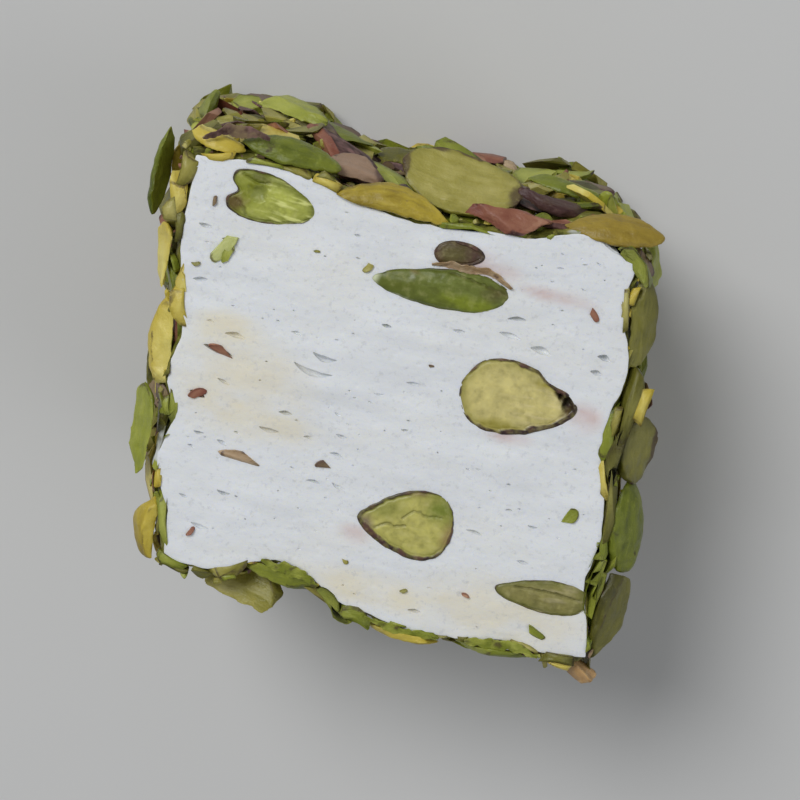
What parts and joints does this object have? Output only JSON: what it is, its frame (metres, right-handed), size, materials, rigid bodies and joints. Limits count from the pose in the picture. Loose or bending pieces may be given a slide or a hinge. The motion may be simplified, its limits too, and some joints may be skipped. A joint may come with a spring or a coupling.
{
  "type": "turkish delight",
  "caption": "Hand-cut square of white nougat-like Turkish delight with pistachio kernels inside and a rough coat of slivered pistachio on its sides.",
  "frame": {"origin": "on the plane of the lower cut face, under the middle of the whole piece's outer box", "axes": "+X along the longer side of the cut face, +Y across the cut face, +Z out of the upper cut face; the block lies on its lower cut face"},
  "size_m": [0.048, 0.042, 0.0306],
  "materials": {
    "nougat": "matt, slightly translucent white, with small air bubbles",
    "coat": "rough heap of slivered pistachio, mixed greens, yellows and browns",
    "kernel": "cut kernel, pale yellow-green with a green rim and thin purple-brown skin",
    "green_sliver": "satin, bright to deep green",
    "yellow_sliver": "satin, yellow",
    "olive_sliver": "dull olive green",
    "pale_sliver": "satin, pale green kernel half with a dark skin edge",
    "purple_sliver": "dry, wrinkled purple-brown skin",
    "red_sliver": "dry, red to pink skin"
  },
  "bodies": {
    "root": {"coat": "coat", "kernel_lower_disc": "kernel", "kernel_lower_heart": "kernel", "kernel_lower_teardrop": "kernel", "kernel_lower_threeway": "kernel", "kernel_lower_wedge": "kernel", "kernel_upper_corner": "kernel", "kernel_upper_husk": "kernel", "kernel_upper_leaf": "kernel", "kernel_upper_long": "kernel", "kernel_upper_pointed": "kernel", "kernel_upper_round": "kernel", "nougat": "nougat", "sliver_bottom_1_green": "green_sliver", "sliver_bottom_2_yellow": "yellow_sliver", "sliver_bottom_3_yellow": "yellow_sliver", "sliver_bottom_4_green": "green_sliver", "sliver_bottom_5_red": "red_sliver", "sliver_bottom_6_olive": "olive_sliver", "sliver_bottom_7_pale": "pale_sliver", "sliver_left_1_green": "green_sliver", "sliver_left_2_yellow": "yellow_sliver", "sliver_left_3_yellow": "yellow_sliver", "sliver_left_4_green": "green_sliver", "sliver_left_5_yellow": "yellow_sliver", "sliver_left_6_pale": "pale_sliver", "sliver_left_7_olive": "olive_sliver", "sliver_right_1_olive": "olive_sliver", "sliver_right_2_green": "green_sliver", "sliver_right_3_pale": "pale_sliver", "sliver_right_4_olive": "olive_sliver", "sliver_right_5_green": "green_sliver", "sliver_right_6_purple": "purple_sliver", "sliver_right_7_yellow": "yellow_sliver", "sliver_top_10_olive": "olive_sliver", "sliver_top_11_green": "green_sliver", "sliver_top_1_yellow": "yellow_sliver", "sliver_top_2_green": "green_sliver", "sliver_top_3_purple": "purple_sliver", "sliver_top_4_red": "red_sliver", "sliver_top_5_pale": "pale_sliver", "sliver_top_6_yellow": "yellow_sliver", "sliver_top_7_purple": "purple_sliver", "sliver_top_8_green": "green_sliver", "sliver_top_9_yellow": "yellow_sliver"}
  },
  "joints": []
}
